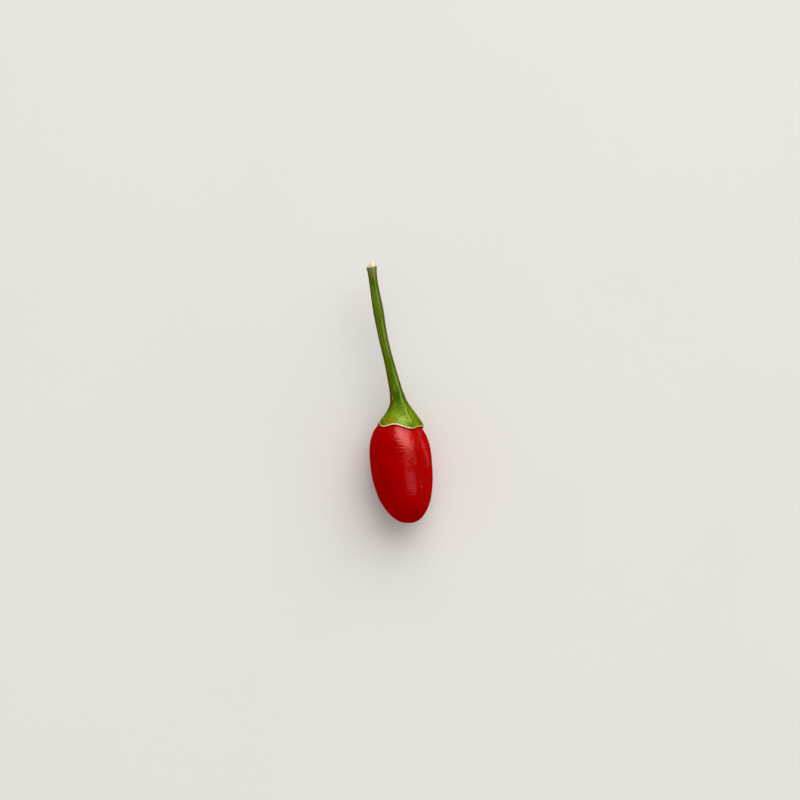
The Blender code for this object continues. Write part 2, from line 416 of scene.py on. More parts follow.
def push_in(piece, group, depth, texture=None):
    """Pushes the skin inwards by its weights, or by a texture, and applies the modifier."""
    start_alone(piece)
    dent = piece.modifiers.new(name="dent", type="DISPLACE")
    dent.strength = -depth
    dent.mid_level = 0.0
    if group:
        dent.vertex_group = group
    if texture:
        dent.texture = texture
        dent.texture_coords = "LOCAL"
    bpy.ops.object.modifier_apply(modifier=dent.name)
    piece.vertex_groups.clear()


DEEPEST = max(deepest for place, deepest, reach in FURROWS)


def furrow_weight(point):
    height, around = pod_place(point)
    return furrow_depth(around, height) / DEEPEST


TIP = pod_line(-TO_TIP)


def pit_weight(point):
    return 1 - smooth_step((point - TIP).length, PIT_FLOOR, PIT_RADIUS)


start_alone(pod)
smoother = pod.modifiers.new(name="smooth skin", type="SUBSURF")
smoother.levels = 1
bpy.ops.object.modifier_apply(modifier=smoother.name)
push_in(pod, weigh(pod, "furrows", furrow_weight), DEEPEST)
push_in(pod, weigh(pod, "pit", pit_weight), PIT_DEPTH)
print("furrows", round(DEEPEST / MM, 2), "mm deep, pit", round(PIT_DEPTH / MM, 2), "mm deep")

# %% Dent the skin softly and press its belly flat
DENT_SIZE = 2.2 * MM
DENT_DEPTH = 0.05 * MM

clouds = bpy.data.textures.new("slow_dents", type="CLOUDS")
clouds.noise_scale = DENT_SIZE
clouds.noise_depth = 1
push_in(pod, None, DENT_DEPTH, clouds)
switch_to("EDIT")
pick(pod, [vert.index for vert in bmesh.from_edit_mesh(pod.data).verts if vert.co.z < 0])
bpy.ops.transform.resize(value=(1, 1, 0), center_override=(0, 0, 0))
switch_to("OBJECT")
bpy.ops.object.shade_smooth()
print("pod faces:", len(pod.data.polygons))

# %% [markdown]
# ## What the finish needs to know about each place
# Colour follows form: the skin gets painted shade in a furrow, and the little pit at the tip is brown. We
# store such facts as named attributes on the mesh, one number for each vertex, and the material reads them.

# %% Store facts on a mesh
def store(piece, name, values, kind="FLOAT", field="value"):
    """Keeps a number for each vertex on the mesh, for the material to read."""
    piece.data.attributes.new(name, kind, "POINT").data.foreach_set(field, values)


store(pod, "furrow", [furrow_weight(vert.co) for vert in pod.data.vertices])
store(pod, "pit", [pit_weight(vert.co) for vert in pod.data.vertices])
print("facts kept on the pod:", "furrow" in pod.data.attributes, "pit" in pod.data.attributes)

# %% [markdown]
# ## A small kit for materials
# Every finish below is built from the same few nodes: the place on the piece in millimetres, a chance
# pattern of a given grain, a soft step, a blend of two colours, and a fine relief. Wrapping each in a
# short function keeps the recipes readable. A colour is then painted as a ground with coats over it, and
# each coat says how much of it shows.

# %% Node tools
class Finish:
    """A Principled material with short names for the nodes that these recipes use."""

    def __init__(self, name):
        self.material = bpy.data.materials.new(name)
        self.material.use_nodes = True
        self.nodes = self.material.node_tree.nodes
        self.links = self.material.node_tree.links
        self.shader = self.nodes["Principled BSDF"]

    def plug(self, socket, value):
        """Links the socket to a node's output or to a fact, given by its name, or sets it to a value."""
        if isinstance(value, str):
            value = self.fact(value)
        if isinstance(value, bpy.types.NodeSocket):
            self.links.new(value, socket)
        else:
            socket.default_value = value

    def fill(self, node, **values):
        """Fills a node's sockets, whose names are written with _ for each space."""
        for name, value in values.items():
            self.plug(node.inputs[name.replace("_", " ")], value)
        return node

    def set(self, **values):
        self.fill(self.shader, **values)

    def add(self, kind, operation=None, **values):
        """Adds a node and sets its operation, if it has one, before its sockets."""
        node = self.nodes.new("ShaderNode" + kind)
        if operation:
            node.operation = operation
        return self.fill(node, **values)

    def place(self, stretch=(1, 1, 1)):
        """The place on the piece in millimetres, divided by the stretch."""
        scale = [1 / (MM * part) for part in stretch]
        mapping = self.add("Mapping", Vector=self.add("TexCoord").outputs["Object"], Scale=scale)
        return mapping.outputs["Vector"]

    def fact(self, name, kind="Fac"):
        attribute = self.add("Attribute")
        attribute.attribute_name = name
        return attribute.outputs[kind]

    def grain(self, place, size, detail=2.0, roughness=0.5):
        """A chance pattern from 0 to 1, with grains of this size in millimetres."""
        pattern = self.add("TexNoise", Vector=place, Scale=1 / size, Detail=detail, Roughness=roughness)
        return pattern.outputs["Fac"]

    def step(self, value, start, end, low=0.0, high=1.0):
        """A soft switch: low before start and high after end."""
        ranged = self.add("MapRange", Value=value, From_Min=start, From_Max=end, To_Min=low, To_Max=high)
        ranged.interpolation_type = "SMOOTHSTEP"
        return ranged.outputs["Result"]

    def sum(self, kind, first, second):
        made = self.add("Math", kind)
        self.plug(made.inputs[0], first)
        self.plug(made.inputs[1], second)
        return made.outputs["Value"]

    def times(self, first, second):
        return self.sum("MULTIPLY", first, second)

    def blend(self, share, first, second):
        """One colour passing into another."""
        made = self.add("Mix", Factor=share)
        made.data_type = "RGBA"
        for socket, colour in ((made.inputs[6], first), (made.inputs[7], second)):
            self.plug(socket, (*colour, 1) if isinstance(colour, tuple) else colour)
        return made.outputs[2]

    def paint(self, ground, *coats):
        """Lays coats over a ground colour. Each is how much of it shows, and its colour."""
        for share, colour in coats:
            ground = self.blend(share, ground, colour)
        return ground

    def spot(self, middle, start, end):
        """1 at a place on the piece, given in millimetres, and 0 beyond the end of its soft edge."""
        apart = self.add("VectorMath", "DISTANCE")
        self.plug(apart.inputs[0], self.place())
        self.plug(apart.inputs[1], middle)
        return self.step(apart.outputs["Value"], start, end, 1.0, 0.0)

    def dab(self, colour, middle, start, end, share):
        """A coat of paint that covers just a spot, by this share."""
        return self.times(self.spot(middle, start, end), share), colour

    def relief(self, height, depth, under=None):
        """Fine relief this deep, laid over the relief under it."""
        bump = self.add("Bump", Height=height, Distance=depth)
        if under:
            self.plug(bump.inputs["Normal"], under)
        return bump.outputs["Normal"]


print("node tools:", [name for name in vars(Finish) if not name.startswith("_")])

# %% [markdown]
# ## The table's finish
# Plain and pale, with the faintest unevenness, so that it reads as a real sheet and takes a soft shadow.

# %% Finish the table
PALE_TABLE = (0.80, 0.785, 0.765)
PALE_TABLE_DEEP = (0.77, 0.755, 0.735)
TABLE_CLOUD_SIZE = 30.0

sheet = Finish("pale_sheet")
sheet_colour = sheet.blend(sheet.grain(sheet.place(), TABLE_CLOUD_SIZE), PALE_TABLE, PALE_TABLE_DEEP)
sheet.set(Base_Color=sheet_colour, Roughness=0.85, Specular_IOR_Level=0.0)
table.data.materials.append(sheet.material)
print("table finish:", sheet.material.name)

# %% [markdown]
# ## The pod's finish
# A ripe pod is a very saturated red under a thin wax. The red has no green or blue in it to speak of, so
# the pale haze on it comes from the wax alone. Under the wax the colour is a little deeper in broad clouds,
# the furrows are darkened as painted shade, and the pit at the tip is brown. The wax itself has fine ripples
# that run across the pod, stronger in some places than in others, and break the edge of the shine into
# short bands. One pale speck on the right lobe is a painted highlight.

# %% Finish the pod
RIPE_RED = (0.42, 0.0006, 0.0008)
DEEP_RED = (0.325, 0.0004, 0.0006)
PIT_BROWN = (0.10, 0.03, 0.012)
HIGHLIGHT_SPECK_PALE = (0.60, 0.12, 0.07)
HIGHLIGHT_SPECK = ((2.60, -2.88, 6.45), 0.05, 0.13)
RIPPLED_PLACES = (((0.1, 0.9, 7.35), 0.8, 1.9), ((1.0, -2.4, 7.1), 0.8, 1.9))
RIPPLE_STRETCH = (1.3, 0.21, 1.3)
RIPPLE_DEPTH = 0.048 * MM
FURROW_SHADE = 0.45

skin = Finish("ripe_red_skin")
red = skin.paint(
    RIPE_RED,
    (skin.step(skin.grain(skin.place(), 2.6, 3.0), 0.3, 0.7), DEEP_RED),
    # painted shade: the skin is darker in the furrows
    (skin.times("furrow", FURROW_SHADE), DEEP_RED),
    (skin.step("pit", 0.5, 0.95), PIT_BROWN),
    # painted highlight: a small pale speck on the right lobe
    (skin.spot(*HIGHLIGHT_SPECK), HIGHLIGHT_SPECK_PALE),
)
rippled = skin.step(skin.grain(skin.place(), 1.6, 1.0), 0.42, 0.62, 0.2, 0.8)
for rippled_place in RIPPLED_PLACES:
    rippled = skin.sum("MAXIMUM", rippled, skin.spot(*rippled_place))
ripples = skin.times(skin.grain(skin.place(RIPPLE_STRETCH), 1.0, 1.0), rippled)
skin.set(
    Base_Color=red,
    Roughness=skin.step(skin.grain(skin.place(), 0.9, 3.0), 0.3, 0.7, 0.17, 0.23),
    Normal=skin.relief(ripples, RIPPLE_DEPTH),
    IOR=1.5,
    Specular_IOR_Level=0.4,
    Specular_Tint=(1.0, 0.5, 0.46, 1),
)
pod.data.materials.append(skin.material)
print("pod finish:", skin.material.name)

# %% Put the pod in the solid's place
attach(pod, "root")
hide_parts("pod")

# %% [markdown]
# ## The green piece's form
# The calyx is a cap on the pod's shoulder with five short teeth. It sweeps up into the neck without a
# break, and on into a ribbed stalk that bends to the left and ends where it was torn off the plant. Its
# edge is a wavy line that lies on a curved and furrowed pod. Scaling and moving whole rings can't follow
# that, so this piece is made another way: a formula gives the place of each point of each ring. The
# stem's line and thickness are those of the solid. The calyx's edge, teeth and ribs and the torn end
# follow the photograph more closely than the solid does, by up to some tenths of a millimetre.

# %% Measures of the stem
STEM_LINE_IN_MM = (
    (-0.08, 4.90), (-0.16, 6.22), (-0.38, 7.75), (-1.25, 11.50),
    (-2.18, 15.25), (-2.86, 18.90), (-3.48, 22.60), (-3.72, 24.70),
)
STEM_RISE = 1.9 * MM
SPLINE_STEPS = 12
NECK = 3.0 * MM
RADIUS_PLACES = [part * MM for part in (3.0, 4.0, 5.2, 7.0, 9.0, 12.2, 14.3, 16.2, 18.4, 19.4, 20.1)]
RADII = [part * MM for part in (0.94, 0.77, 0.68, 0.58, 0.52, 0.55, 0.61, 0.55, 0.50, 0.54, 0.61)]


def spline(points, index, share):
    """A point of the smooth curve through the points, between number index and the next."""
    before = points[max(index - 1, 0)]
    start = points[index]
    end = points[index + 1]
    after = points[min(index + 2, len(points) - 1)]
    bend = 2 * before - 5 * start + 4 * end - after
    twist = 3 * start - before - 3 * end + after
    return 0.5 * (2 * start + (end - before) * share + bend * share**2 + twist * share**3)


def stem_route():
    """Points along the stem's line, with the distance of each from the first."""
    corners = [Vector((aside * MM, along * MM)) for aside, along in STEM_LINE_IN_MM]
    flat = [
        spline(corners, index, step / SPLINE_STEPS)
        for index in range(len(corners) - 1)
        for step in range(SPLINE_STEPS)
    ]
    flat.append(corners[-1])
    route = []
    distances = [0.0]
    for point in flat:
        share = (point.y - corners[0].y) / (corners[-1].y - corners[0].y)
        route.append(Vector((point.x, point.y, POD_LINE_HEIGHT + STEM_RISE * share**2)))
        if len(route) > 1:
            distances.append(distances[-1] + (route[-1] - route[-2]).length)
    return route, distances


ROUTE, DISTANCES = stem_route()
STEM_END = DISTANCES[-1]
print("the stem's line is", round(STEM_END / MM, 1), "mm long")

# %% Points beside the stem's line
def find_place(marks, distance):
    """The number of the mark before this distance, and how far on towards the next mark it lies."""
    index = 0
    while index < len(marks) - 2 and marks[index + 1] < distance:
        index += 1
    return index, (distance - marks[index]) / (marks[index + 1] - marks[index])


def stem_radius(distance):
    index, share = find_place(RADIUS_PLACES, distance)
    return spline(RADII, index, min(1.0, max(0.0, share)))


def stem_point(distance, around, away):
    """A point beside the stem's line, this far away from it. Past its end the line runs straight on."""
    index, share = find_place(DISTANCES, distance)
    place = ROUTE[index].lerp(ROUTE[index + 1], share)
    heading = (ROUTE[index + 1] - ROUTE[index]).normalized()
    if index > 0:
        before = (ROUTE[index] - ROUTE[index - 1]).normalized()
        heading = before.lerp(heading, min(1.0, 0.5 + share / 2)).normalized()
    side = heading.cross(UP).normalized()
    up = side.cross(heading)
    return place + (side * math.sin(around) + up * math.cos(around)) * away


print("radius at the neck:", round(stem_radius(NECK) / MM, 2), "mm")

# %% Measures of the calyx, its teeth and the ribs
CALYX_THICKNESS = 0.14 * MM
CALYX_LOPSIDE = 0.33
POD_GAP = 0.06 * MM
SWEEP_FROM_EDGE = 0.8 * MM
SWEEP_TO_NECK = 1.0 * MM
SWEEP_LIFT = 0.07 * MM
SWEEP_LOOK_AHEAD = 0.05
NECK_FLARE = 0.08
TEETH = 5
FIRST_TOOTH = -41 * DEG
EDGE_ALONG = 4.68 * MM
EDGE_TILT = 0.19 * MM
TOOTH_LENGTH = 0.36 * MM
TOOTH_SLOPE_BEFORE = 0.65
TOOTH_SLOPE_AFTER = 2.2
RIB_ON_STEM = 0.085 * MM
RIB_ON_CALYX = 0.08 * MM
CREST_SHARE = 0.15
RIB_TWIST = -12 * DEG
EDGE_UNEVENNESS = 0.035 * MM
EDGE_WAVE_SIZE = 0.22
EDGE_SHIFTS = (
    (58 * DEG, 16 * DEG, -0.08 * MM),
    (94 * DEG, 18 * DEG, 0.20 * MM),
)
CURL_PLACE = -80 * DEG
CURL_WIDTH = 17 * DEG
CURL_LIFT = 0.25 * MM


def pod_point(height, around, lift=0.0):
    """A point that stands off the pod's skin by the lift."""
    along, width = pod_outline(height, lift)
    radius = (POD_RADIUS + lift - furrow_depth(around, height)) * width
    return pod_line(along) + Vector((radius * math.sin(around), 0, radius * math.cos(around) * POD_FLATNESS))


def off_tooth(around):
    """The angle to the nearest tooth, from -1 to 1, which is halfway to the next."""
    step = 2 * math.pi / TEETH
    return ((around - FIRST_TOOTH + step / 2) % step - step / 2) / (step / 2)


def tooth(around):
    """1 at the rounded tip of a tooth, and 0 halfway to the next. It slopes gently up to the tip."""
    off = off_tooth(around)
    wave = 0.5 + 0.5 * math.cos(math.pi * off)
    return wave ** (TOOTH_SLOPE_AFTER if off > 0 else TOOTH_SLOPE_BEFORE)


def rib(around):
    """1 on the crest of the rib above each tooth, 0 between two ribs: a broad swell with a thin crest."""
    wave = 0.5 + 0.5 * math.cos(math.pi * off_tooth(around))
    return mix(wave**2, wave**10, CREST_SHARE)


def vein(around):
    """Finer ridges between the ribs."""
    return 0.5 + 0.5 * math.cos(3 * TEETH * (around - FIRST_TOOTH))


def circle_point(around):
    """A place on a ring of radius 1, on which a pattern closes without a seam."""
    return Vector((math.sin(around), math.cos(around), 0))


def edge_height(around):
    """The height on the pod at which the calyx's edge lies."""
    uneven = EDGE_UNEVENNESS * unevenness(circle_point(around), EDGE_WAVE_SIZE)
    along = EDGE_ALONG - EDGE_TILT * math.sin(around) - TOOTH_LENGTH * tooth(around) + uneven
    for place, width, shift in EDGE_SHIFTS:
        along += shift * bell(half_turn(around - place) / width)
    return (along / TO_SHOULDER) ** (SHOULDER_FULLNESS / 2)


def thickness(around):
    """The calyx's thickness at its edge."""
    return CALYX_THICKNESS * (1 + CALYX_LOPSIDE * math.sin(around))


def curl(around):
    """1 on the left, where the calyx's edge curls away from the pod a little."""
    return bell(half_turn(around - CURL_PLACE) / CURL_WIDTH)


def edge_gap(around):
    """How far the calyx's edge stands off the pod."""
    return POD_GAP + CURL_LIFT * curl(around)


print("teeth:", TEETH)

# %% [markdown]
# ## The calyx, from its hidden hollow to the neck
# Four stretches of rings follow one another: the hollow that the pod's shoulder fills, the rounded edge,
# the outside that sweeps up to the neck in one soft bend, and the stem's bark.

# %% Points of the calyx and the bark
VEIN_RELIEF = 0.018 * MM
SKIN_RELIEF = 0.012 * MM
SKIN_GRAIN = 0.5 * MM
BARK_RELIEF = 0.6 * SKIN_RELIEF
BARK_GRAIN = 0.3 * MM
BARK_STRETCH = 6
SCAR_SLANT_UP = -0.04
SCAR_SLANT_ASIDE = 0.12
SCAR_SETBACK = 0.22 * MM
SCAR_START = 0.93
RIM_START = 0.985
RIM_TEAR = 0.07 * MM
RIM_TEAR_SIZE = 0.3


def underside_point(share, around):
    gap = mix(POD_GAP, edge_gap(around), smooth_step(share, 0.6, 1.0))
    return pod_point(mix(1.0, edge_height(around), share), around, gap)


def lip_point(share, around):
    """A point of the calyx's rounded edge, from its inner to its outer side."""
    half = thickness(around) / 2
    lift = edge_gap(around) + half - half * math.cos(math.pi * share)
    overhang = half * math.sin(math.pi * share)
    return pod_point(edge_height(around) - overhang / TO_SHOULDER, around, lift)


def calyx_point(share, around):
    """A point of the calyx's outside."""
    height = edge_height(around)
    lift = edge_gap(around) + thickness(around)
    edge = pod_point(height, around, lift)
    further = pod_point(height + SWEEP_LOOK_AHEAD, around, lift + SWEEP_LIFT)
    above_edge = edge + (further - edge).normalized() * SWEEP_FROM_EDGE
    neck_radius = stem_radius(NECK) + RIB_ON_STEM * rib(around)
    below_radius = neck_radius + NECK_FLARE * SWEEP_TO_NECK
    below_neck = stem_point(NECK - SWEEP_TO_NECK, around, below_radius)
    neck = stem_point(NECK, around, neck_radius)
    rest = 1 - share
    point = edge * rest**3 + above_edge * (3 * rest**2 * share)
    point += below_neck * (3 * rest * share**2) + neck * share**3
    outwards = (point - stem_point(NECK * share, around, 0.0)).normalized()
    fading = math.sin(math.pi * share)
    swell = RIB_ON_CALYX * rib(around) * fading + VEIN_RELIEF * vein(around) * fading
    return point + outwards * (swell + SKIN_RELIEF * unevenness(point, SKIN_GRAIN) * fading)


def scar_shift(radius, around):
    """How far the torn end stands beyond or behind the stem's end at this place."""
    slant = SCAR_SLANT_ASIDE * math.sin(around) - SCAR_SLANT_UP * math.cos(around)
    return radius * slant - SCAR_SETBACK


def rim_tear(around):
    """How far the rim of the torn end is torn back at this angle."""
    return RIM_TEAR * abs(unevenness(circle_point(around), RIM_TEAR_SIZE))


def bark_point(distance, around):
    """A point of the stem's ribbed side."""
    share = (distance - NECK) / (STEM_END - NECK)
    turned = around - RIB_TWIST * share
    radius = stem_radius(distance) + RIB_ON_STEM * rib(turned)
    shift = scar_shift(radius, around) * smooth_step(share, SCAR_START, 1.0)
    shift -= rim_tear(around) * smooth_step(share, RIM_START, 1.0)
    point = stem_point(distance + shift, around, radius)
    outwards = (point - stem_point(distance + shift, around, 0.0)).normalized()
    fading = smooth_step(share, 0.0, 0.05)
    long_grain = Vector((point.x, point.y / BARK_STRETCH, point.z))
    return point + outwards * (BARK_RELIEF * unevenness(long_grain, BARK_GRAIN) * fading)


print("edge point:", [round(part / MM, 2) for part in lip_point(0.5, 0.0)])

# %% [markdown]
# ## The torn end
# Where the stem was torn off, the bark stands as a thin uneven rim round a groove, and the woody middle
# is a rough patch that was pulled out in fibres, further on its right side. Rings run inwards from the
# rim, and each point is raised or lowered by the profile, by the patch and by chance.

# %% Points of the torn end
GROOVE = 0.74
SCAR_PROFILE = ((1.0, 0.0), (0.9, 0.02), (GROOVE, -0.11), (0.5, -0.05), (0.25, 0.0), (0.0, 0.0))
SCAR_ROUGHNESS = 0.06 * MM
SCAR_GRAIN = 0.16
PATCH_LIFT = 0.34 * MM
PATCH_PLACE = Vector((0.15, -0.12, 0))
PATCH_SIZE = 0.46


def scar_level(reach):
    """How far the scar stands out at this share of the rim's radius."""
    for (outer, high), (inner, low) in zip(SCAR_PROFILE, SCAR_PROFILE[1:]):
        if reach >= inner:
            return MM * mix(low, high, (reach - inner) / (outer - inner))


def patch(place):
    """1 in the middle of the pulled patch and 0 well outside it, for a place on a scar of radius 1."""
    return math.exp(-(((place - PATCH_PLACE).length / PATCH_SIZE) ** 4))


def scar_point(reach, around):
    rim = stem_radius(STEM_END) + RIB_ON_STEM * rib(around - RIB_TWIST)
    tear = rim_tear(around) * smooth_step(reach, 0.6, 1.0)
    place = circle_point(around) * reach
    inside = smooth_step(1 - reach, 0.0, 0.15)
    rough = SCAR_ROUGHNESS * unevenness(place, SCAR_GRAIN) * inside
    lift = PATCH_LIFT * patch(place) * inside
    slant = reach * (scar_shift(rim, around) + SCAR_SETBACK) - SCAR_SETBACK
    return stem_point(STEM_END + scar_level(reach) - tear + slant + rough + lift, around, reach * rim)


print("the groove lies", round(-scar_level(GROOVE) / MM, 2), "mm under the rim")

# %% [markdown]
# ## Pulling a ball over the form
# All these rings make one closed skin, like a sock. A ball has the same rings from pole to pole: one pole
# goes deep under the calyx, and the other to the middle of the torn end. We make a ball with as many rings
# as all stretches have together, and carry each of its points to the place that the formula gives for its
# ring and its angle. The calyx's rings crowd towards its edge, where the form is finest.

# %% Shape the calyx and stem
GREEN_SEGMENTS = 260
STRETCHES = {"underside": 8, "lip": 10, "calyx": 60, "stem": 130, "scar": 20}
GREEN_RINGS = sum(STRETCHES.values())
EDGE_RING = STRETCHES["underside"] + STRETCHES["lip"]
CALYX_CROWDING = 1.4


def green_place(ring):
    """The stretch that a ring belongs to, and how far along that stretch it lies."""
    for stretch, count in STRETCHES.items():
        if ring <= count:
            return stretch, ring / count
        ring -= count


def green_point(ring, around):
    stretch, share = green_place(ring)
    if stretch == "calyx":
        return calyx_point(share**CALYX_CROWDING, around)
    if stretch == "stem":
        return bark_point(mix(NECK, STEM_END, share), around)
    if stretch == "scar":
        return scar_point(1 - share, around)
    return (underside_point if stretch == "underside" else lip_point)(share, around)


bpy.ops.mesh.primitive_uv_sphere_add(segments=GREEN_SEGMENTS, ring_count=GREEN_RINGS, radius=1.0)
green = bpy.context.object
green.name = "green_calyx_and_stem"
green_places = []
for vert in green.data.vertices:
    ring = round((1 - math.acos(max(-1.0, min(1.0, vert.co.z))) / math.pi) * GREEN_RINGS)
    around = math.atan2(-vert.co.x, vert.co.y) + FIRST_TOOTH
    green_places.append((ring, around))
    vert.co = green_point(ring, around)
start_alone(green)
bpy.ops.object.shade_smooth()
print("green piece faces:", len(green.data.polygons))

# %% [markdown]
# ## Facts for the green finish
# The finish needs to know where the dry edge is, where the ribs run, where calyx turns to stem, how near
# the torn end is, and it needs a place that follows the bent stem, so that streaks run along it. Each fact
# is a function of ring and angle, and is stored under that function's name.

# %% Store the facts
EDGE_WIDTH_ON_TOP = 0.055 * MM
EDGE_WIDTH_AT_CURL = 0.06 * MM
EDGE_TOP_PLACE = -0.15
EDGE_TOP_REACH = 0.45
EDGE_FADE = 0.03 * MM
GRAIN_STRETCH = 9.0
GRAIN_SPREAD_ON_CALYX = 2.2
EDGE_RADIUS = 3.0 * MM
RADIUS_FALL = 0.6
LINE_WIDTH = 0.065 * MM
LINE_WANDER = 0.28 * MM
RINGS_PER_WANDER = 9
TORN_START = 0.989
TORN_END = 0.996
TORN_UNEVENNESS = 0.004
SIDE_ON_LEFT = (8 * DEG, 55 * DEG)
SIDE_ON_RIGHT = (42 * DEG, 80 * DEG)


def dry_edge(ring, around):
    """1 on the pale dry edge, which is widest near the top and at the curl, and else on the lip alone."""
    stretch, share = green_place(ring)
    curled = curl(around)
    if stretch == "lip":
        return smooth_step(share, mix(0.45, 0.02, curled), mix(0.64, 0.2, curled))
    if stretch != "calyx":
        return 0.0
    away = (green_point(ring, around) - green_point(EDGE_RING, around)).length
    wide = EDGE_WIDTH_ON_TOP * bell(half_turn(around - EDGE_TOP_PLACE) / EDGE_TOP_REACH)
    wide += EDGE_WIDTH_AT_CURL * curled
    wide *= 1 + 0.6 * unevenness(circle_point(around), 0.15, 4.0)
    return 1 - smooth_step(away, wide, wide + EDGE_FADE)


def on_calyx(ring, around):
    """1 low on the calyx, and less and less up to the neck, where the stem's colour takes over."""
    stretch, share = green_place(ring)
    if stretch == "calyx":
        return 1 - smooth_step(share, 0.45, 0.95)
    return 0.0 if stretch in ("stem", "scar") else 1.0


def along_stem(ring):
    """How far along the stem a ring lies, from 0 to 1, and 0 on the rest of the piece."""
    stretch, share = green_place(ring)
    return share if stretch == "stem" else 0.0


def beside_rib(ring, around):
    """How far this place lies to the right of the nearest rib's crest, which wanders a little."""
    stretch, share = green_place(ring)
    along = along_stem(ring)
    radius = stem_radius(mix(NECK, STEM_END, along))
    if stretch == "calyx":
        radius = mix(EDGE_RADIUS, radius, share**RADIUS_FALL)
    off = off_tooth(around - RIB_TWIST * along) * math.pi / TEETH * radius
    return off + LINE_WANDER * unevenness(Vector((ring / RINGS_PER_WANDER, around, 0)), 1.0, 3.0)


def on_right(around):
    return smooth_step(half_turn(around), -20 * DEG, 10 * DEG)


def rib_highlight_line(ring, around):
    """1 on the thin painted highlight line down each rib of the right side."""
    return bell(beside_rib(ring, around) / LINE_WIDTH) * on_right(around)


def rib_shade(ring, around):
    """1 on the thin painted shade line that follows the painted highlight on its right."""
    return bell(beside_rib(ring, around) / LINE_WIDTH - 2.0)


def near_end(ring, around):
    stretch, share = green_place(ring)
    return smooth_step(share, 0.86, 1.0) if stretch == "stem" else float(stretch == "scar")


def torn(ring, around):
    stretch, share = green_place(ring)
    if stretch == "stem":
        ragged = TORN_UNEVENNESS * unevenness(circle_point(around), 0.1, 2.0)
        return smooth_step(share, TORN_START + ragged, TORN_END + ragged)
    return float(stretch == "scar")


def scar_reach(ring, around):
    stretch, share = green_place(ring)
    return 1 - share if stretch == "scar" else 1.0


def highlight_stripe(ring, around):
    """1 on the crests of the ribs on the stem's right side, where a painted highlight lies."""
    along = along_stem(ring)
    return rib(around - RIB_TWIST * along) * on_right(around) * smooth_step(along, 0.0, 0.18)


def above_edge(ring, around):
    """1 high on the calyx and at the neck, where the ribs' thin lines show, and 0 away from there."""
    stretch, share = green_place(ring)
    if stretch == "stem":
        return 1 - smooth_step(share, 0.05, 0.25)
    return smooth_step(share, 0.12, 0.5) if stretch == "calyx" else 0.0


def stem_side(ring, around):
    """0 on the top of the stem, 1 at its sides and below. It starts sooner on the left."""
    turned = half_turn(around)
    return max(smooth_step(-turned, *SIDE_ON_LEFT), smooth_step(turned, *SIDE_ON_RIGHT))


def pulled_patch(ring, around):
    return patch(circle_point(around) * scar_reach(ring, around))


def grain_place(ring, around):
    """A place for streaks that run along the piece: across it as it is, along it shrunk."""
    stretch, share = green_place(ring)
    lengths = {"underside": 0.0, "lip": 0.0, "calyx": share * NECK, "stem": mix(NECK, STEM_END, share)}
    distance = lengths.get(stretch, STEM_END)
    spread = mix(1.0, GRAIN_SPREAD_ON_CALYX, on_calyx(ring, around))
    across = circle_point(around) * stem_radius(max(distance, NECK)) * spread
    return (across.x, across.y, distance / GRAIN_STRETCH)


GREEN_FACTS = (
    dry_edge, on_calyx, near_end, torn, scar_reach, highlight_stripe,
    above_edge, rib_highlight_line, rib_shade, stem_side, pulled_patch,
)
for value_of in GREEN_FACTS:
    store(green, value_of.__name__, [value_of(ring, around) for ring, around in green_places])
grain_flat = [part for ring, around in green_places for part in grain_place(ring, around)]
store(green, "grain_place", grain_flat, "FLOAT_VECTOR", "vector")
print("green facts:", len(green.data.attributes))

# %% [markdown]
# ## The green finish
# The stem is a deep grassy green with lighter streaks along it, a painted highlight along the rib crests of
# its right side, and a brownish tinge at its sides that is partly its own colour and partly painted
# reflection. The calyx is yellower, with a painted sheen as a pale mottled panel in the middle of its top,
# brown flecks near its left edge and olive patches on the right. The rib crests on the right carry thin
# painted highlight lines with painted shade beside them, and the neck gets a patch of painted shade and a
# few pale dabs of painted highlight. The edge is dry and cream white, and so is the torn end, which is
# greenish yellow inside its rim, with painted shade in the groove round its pulled patch.

# %% Colours and patterns of the green piece
STEM_GREEN = (0.056, 0.136, 0.001)
STEM_DEEP = (0.022, 0.058, 0.001)
STEM_LIGHT = (0.17, 0.27, 0.035)
STEM_SIDE = (0.105, 0.085, 0.002)
CALYX_GREEN = (0.116, 0.262, 0.001)
CALYX_DEEP = (0.052, 0.125, 0.001)
CALYX_YELLOW = (0.20, 0.30, 0.001)
HIGHLIGHT_PALE = (0.31, 0.43, 0.075)
CALYX_OLIVE = (0.12, 0.13, 0.001)
TOOTH_GREEN = (0.050, 0.10, 0.001)
FLECK_BROWN = (0.23, 0.105, 0.004)
OLD_GREEN = (0.24, 0.28, 0.10)
OLD_BROWN = (0.14, 0.06, 0.008)
DRY_CREAM = (0.97, 0.72, 0.45)
DRY_TAN = (0.52, 0.34, 0.085)
TORN_CREAM = (0.90, 0.80, 0.50)
TORN_GREENISH = (0.38, 0.34, 0.07)
TORN_GROOVE_SHADE = (0.16, 0.12, 0.02)

bark = Finish("fresh_green_bark")
where = bark.place()
along_grain = bark.add("VectorMath", "SCALE", Scale=1 / MM)
bark.plug(along_grain.inputs[0], bark.fact("grain_place", "Vector"))
streak_place = along_grain.outputs["Vector"]
streaks = bark.grain(streak_place, 0.35, 3.0)
fine_streaks = bark.grain(streak_place, 0.10, 2.0)
mottle = bark.grain(where, 0.55, 3.0, 0.6)
flecks = bark.grain(where, 0.16, 2.0, 0.6)
patches = bark.grain(where, 0.27, 2.0, 0.6)
print("nodes so far:", len(bark.nodes))

